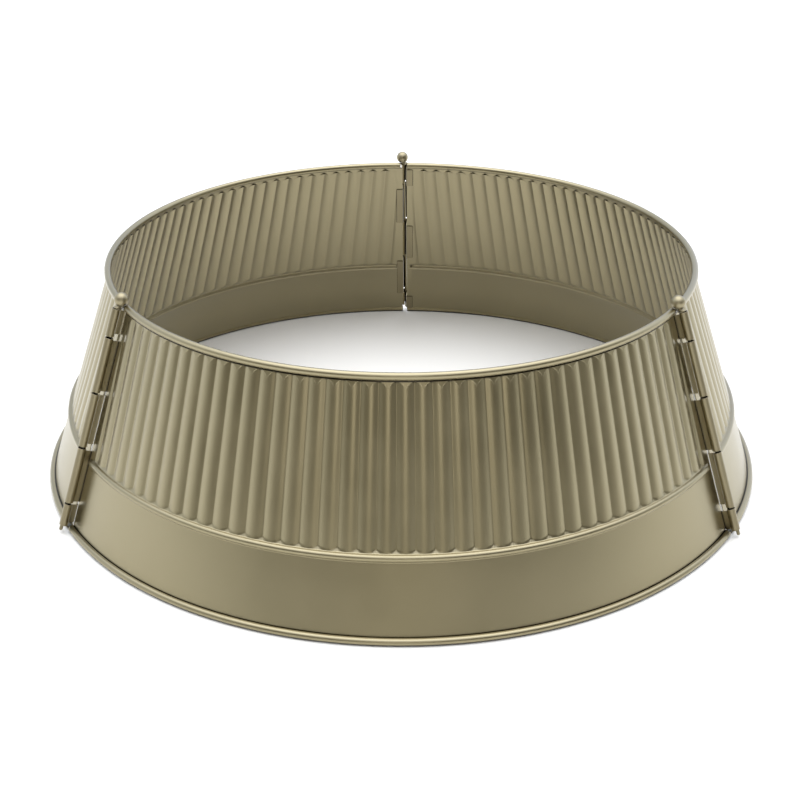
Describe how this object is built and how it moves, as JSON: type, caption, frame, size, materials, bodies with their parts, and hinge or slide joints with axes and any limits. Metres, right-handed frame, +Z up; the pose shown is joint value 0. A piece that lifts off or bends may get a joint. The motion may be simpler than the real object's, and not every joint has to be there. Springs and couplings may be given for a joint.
{
  "type": "christmas tree collar",
  "caption": "Tapered ring of fluted, painted sheet-metal panels, hinged on lift-out ball-topped pins, that opens round a christmas tree and hides its stand.",
  "frame": {"origin": "middle of the ring on the floor it stands on", "axes": "+Z is up, the front panel faces -Y, and +X is on the right seen from the front"},
  "size_m": [0.7, 0.7066, 0.2212],
  "materials": {
    "panel_paint": "champagne metallic paint, satin, on pressed sheet steel",
    "hinge_paint": "champagne metallic paint, satin, on bent steel straps",
    "pin_paint": "champagne metallic paint, worn along the shank",
    "ball_paint": "champagne metallic paint, semi-gloss, on turned balls",
    "rim_wire": "bare drawn steel wire"
  },
  "bodies": {
    "front": {"front_panel": "panel_paint", "front_top_wire": "rim_wire", "front_bottom_wire": "rim_wire", "left_hinge_knuckle_2": "hinge_paint", "left_hinge_knuckle_4": "hinge_paint", "right_hinge_knuckle_1": "hinge_paint", "right_hinge_knuckle_3": "hinge_paint", "right_hinge_knuckle_5": "hinge_paint"},
    "left": {"left_panel": "panel_paint", "left_top_wire": "rim_wire", "left_bottom_wire": "rim_wire", "left_hinge_knuckle_1": "hinge_paint", "left_hinge_knuckle_3": "hinge_paint", "left_hinge_knuckle_5": "hinge_paint", "back_hinge_knuckle_2": "hinge_paint", "back_hinge_knuckle_4": "hinge_paint"},
    "right": {"right_panel": "panel_paint", "right_top_wire": "rim_wire", "right_bottom_wire": "rim_wire", "right_hinge_knuckle_2": "hinge_paint", "right_hinge_knuckle_4": "hinge_paint", "back_hinge_knuckle_1": "hinge_paint", "back_hinge_knuckle_3": "hinge_paint", "back_hinge_knuckle_5": "hinge_paint"},
    "left_pin": {"left_hinge_pin": "pin_paint", "left_hinge_ball": "ball_paint"},
    "right_pin": {"right_hinge_pin": "pin_paint", "right_hinge_ball": "ball_paint"},
    "back_pin": {"back_hinge_pin": "pin_paint", "back_hinge_ball": "ball_paint"}
  },
  "joints": [
    {"name": "left_panel_swing", "type": "hinge", "parent": "front", "child": "left", "pos_m": [-0.27608, -0.15939, 0.107], "axis": [0.2816, 0.1626, 0.9456], "range_deg": [0, 150]},
    {"name": "right_panel_swing", "type": "hinge", "parent": "front", "child": "right", "pos_m": [0.27608, -0.15939, 0.107], "axis": [0.2816, -0.1626, -0.9456], "range_deg": [0, 150]},
    {"name": "left_pin_lift", "type": "slide", "parent": "front", "child": "left_pin", "axis": [0.2925, 0.1689, 0.9412], "range_m": [0, 0.22]},
    {"name": "right_pin_lift", "type": "slide", "parent": "front", "child": "right_pin", "axis": [-0.2925, 0.1689, 0.9412], "range_m": [0, 0.22]},
    {"name": "back_pin_lift", "type": "slide", "parent": "right", "child": "back_pin", "axis": [-0.0133, -0.3252, 0.9456], "range_m": [0, 0.22]}
  ]
}
